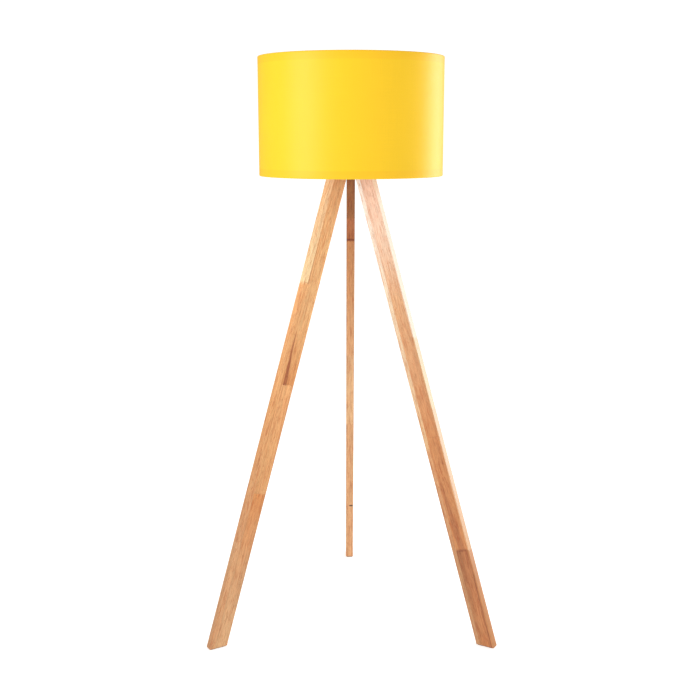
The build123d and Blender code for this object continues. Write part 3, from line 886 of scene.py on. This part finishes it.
def thread_points(below, above, crest, depth, pitch, low, high):
    """Points of a sleeve rolled with a round thread from low to high, column by column. Its
    plain ends, below and above the thread, are given as (radius, height) points."""
    rows = round((high - low) / pitch * rows_per_turn)
    points = []
    for column in range(thread_columns):
        azimuth = tau * column / thread_columns
        line = list(below)
        for row in range(rows + 1):
            height = low + (high - low) * row / rows
            fade = smooth_step(min(height - low, high - height) / (0.6 * pitch))
            wave = cos(tau * height / pitch - azimuth)
            line.append((crest - depth / 2 + fade * depth / 2 * wave, height))
        line += list(above)
        points += [(r * cos(azimuth), r * sin(azimuth), z) for r, z in line]
    return points


def threaded_sleeve(name, points, finish, body):
    """The sleeve through those points, with its thickness inwards."""
    rows = len(points) // thread_columns
    faces = grid_faces(thread_columns, rows, closed=True)
    sleeve = new_piece(name, points, faces, finish, body)
    return thicken(sleeve, sleeve_gauge, -1.0)


def bulb_thread(finish):
    """The bulb's rolled metal cap."""
    low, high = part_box("bulb_cap")
    crest = high.x
    root = crest - cap_depth
    below = [
        (root - 0.7 * MM, low.z),
        (root - 0.2 * MM, low.z + 0.3 * MM),
        (root + 0.2 * MM, low.z + 0.9 * MM),
    ]
    above = [
        (crest - cap_depth / 2, high.z - 3.2 * MM),
        (crest, high.z - 2.6 * MM),
        (crest, high.z - 0.4 * MM),
        (crest + 0.25 * MM, high.z),
    ]
    first = low.z + 1.4 * MM
    last = high.z - 3.8 * MM
    points = thread_points(below, above, crest, cap_depth, cap_pitch, first, last)
    cap = threaded_sleeve("bulb_screw_cap", points, finish, "bulb")
    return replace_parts(cap, "bulb_cap")


def holder_thread(finish):
    """The thread on the lampholder's sleeve, above the shade's ring nut."""
    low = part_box("shade_ring")[1].z + 0.3 * MM
    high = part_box("holder_shell")[1].z - 0.7 * MM
    sunk = holder_root - 0.2 * MM
    below = [(sunk, low - 0.1 * MM)]
    above = [(sunk, high + 0.1 * MM)]
    crest = holder_root + holder_depth
    points = thread_points(below, above, crest, holder_depth, holder_pitch, low, high)
    return threaded_sleeve("holder_thread", points, finish, "hub")


# --- Welds --------------------------------------------------------------------------------------


def weld_mesh(lumps, place, reach, flatten, seed):
    """Adds a small lump of weld, reach long along X and flattened across."""
    made = bmesh.ops.create_icosphere(lumps, subdivisions=3, radius=1.0)
    radii = Vector((reach, reach * flatten, reach * flatten))
    for vertex in made["verts"]:
        rough = 1 + 0.22 * noise.noise(vertex.co * 2.2 + Vector((seed, 0, 0)))
        vertex.co = vertex.co * radii * rough + place


def arm_welds(finish):
    """Where each arm meets the spider's edge and the lower wire."""
    mesh = bpy.data.meshes.new("arm_welds")
    lumps = bmesh.new()
    spider_edge = radius_of("spider_washer")
    for number, azimuth in enumerate(arm_azimuths):
        turn = Matrix.Rotation(radians(azimuth), 4, "Z")
        inner = Vector((spider_edge + 0.4 * MM, 0, middle("spider_washer").z))
        outer = Vector((wire_ring - 1.5 * MM, 0, wire_low + 0.5 * MM))
        weld_mesh(lumps, turn @ inner, 2.1 * MM, 0.8, number)
        weld_mesh(lumps, turn @ outer, 2.0 * MM, 0.85, number + 10)
    lumps.to_mesh(mesh)
    lumps.free()
    mesh.materials.append(finish)
    mesh.shade_smooth()
    piece = bpy.data.objects.new("arm_welds", mesh)
    bpy.context.scene.collection.objects.link(piece)
    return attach(piece, "shade")


# --- The studio ------------------------------------------------------------------------------------


def studio_floor():
    """A large pale floor."""
    half = 40
    corners = [(-half, -half, 0), (half, -half, 0), (half, half, 0), (-half, half, 0)]
    mesh = bpy.data.meshes.new("floor")
    mesh.from_pydata(corners, [], [(0, 1, 2, 3)])
    floor = bpy.data.objects.new("floor", mesh)
    bpy.context.scene.collection.objects.link(floor)
    made = Finish("floor", specular_ior_level=0.0, emission_color=white, emission_strength=0.45)
    grain = made.noise(made.point, 30.0, 2.0)
    colour = made.mix(grain, tone("f4f4f4"), tone("f8f8f8"))
    mesh.materials.append(made.finish(colour, 0.8))
    floor.visible_glossy = False


def studio_world():
    """White all round: bright to look at, softer to light with, and dim in reflections."""
    world = bpy.data.worlds.new("studio")
    world.use_nodes = True
    bpy.context.scene.world = world
    nodes = world.node_tree.nodes
    links = world.node_tree.links
    rays = nodes.new("ShaderNodeLightPath").outputs
    strength = None
    for ray, brightness in (("Is Camera Ray", 1.1), ("Is Diffuse Ray", 0.80), ("Is Glossy Ray", 0.2)):
        step = nodes.new("ShaderNodeMath")
        step.operation = "MULTIPLY_ADD"
        links.new(rays[ray], step.inputs[0])
        step.inputs[1].default_value = brightness
        step.inputs[2].default_value = 0.0
        if strength:
            links.new(strength, step.inputs[2])
        strength = step.outputs[0]
    background = nodes["Background"]
    background.inputs["Color"].default_value = white
    links.new(strength, background.inputs["Strength"])


def softbox(name, azimuth, distance, height, size, aim, brightness, spread=180.0):
    """A rectangular light, pointed at a height on the lamp's axis. Azimuth is measured round
    from the camera's side, to the right, brightness is how bright its face looks, and spread is
    how wide its grid lets light out. Angles are in degrees."""
    data = bpy.data.lights.new(name, "AREA")
    data.shape = "RECTANGLE"
    data.size, data.size_y = size
    data.energy = brightness * pi * size[0] * size[1]
    data.spread = radians(spread)
    light = bpy.data.objects.new(name, data)
    turn = radians(azimuth)
    light.location = (distance * sin(turn), -distance * cos(turn), height)
    target = Vector((0, 0, aim))
    light.rotation_euler = (light.location - target).to_track_quat("Z", "Y").to_euler()
    bpy.context.scene.collection.objects.link(light)


def camera():
    """A short telephoto view from chest height, looking down a little."""
    data = bpy.data.cameras.new("camera")
    data.sensor_width = 36
    data.lens = 53.87
    seen_from = bpy.data.objects.new("camera", data)
    seen_from.location = (-0.0328, -2.6133, 1.2566)
    seen_from.rotation_euler = (radians(90 - 11.683), 0, radians(-0.665))
    bpy.context.scene.collection.objects.link(seen_from)
    bpy.context.scene.camera = seen_from


def studio():
    studio_floor()
    studio_world()
    softbox("softbox_left", -56, 2.2, 1.42, (1.1, 1.1), aim=1.35, brightness=1.1, spread=85)
    softbox("softbox_right", 121, 2.2, 1.02, (0.88, 2.04), aim=0.9, brightness=4.8)
    camera()
    bpy.context.scene.view_settings.view_transform = "Standard"


# --- The lamp -----------------------------------------------------------------------------------

finishes = finish_cad_nodes()
shade_cover(finishes["shade_fabric"])
shade_lining(finishes["shade_liner"])
bulb_thread(finishes["nickel_cap"])
holder_thread(finishes["black_plastic"])
arm_welds(finishes["white_wire"])
studio()
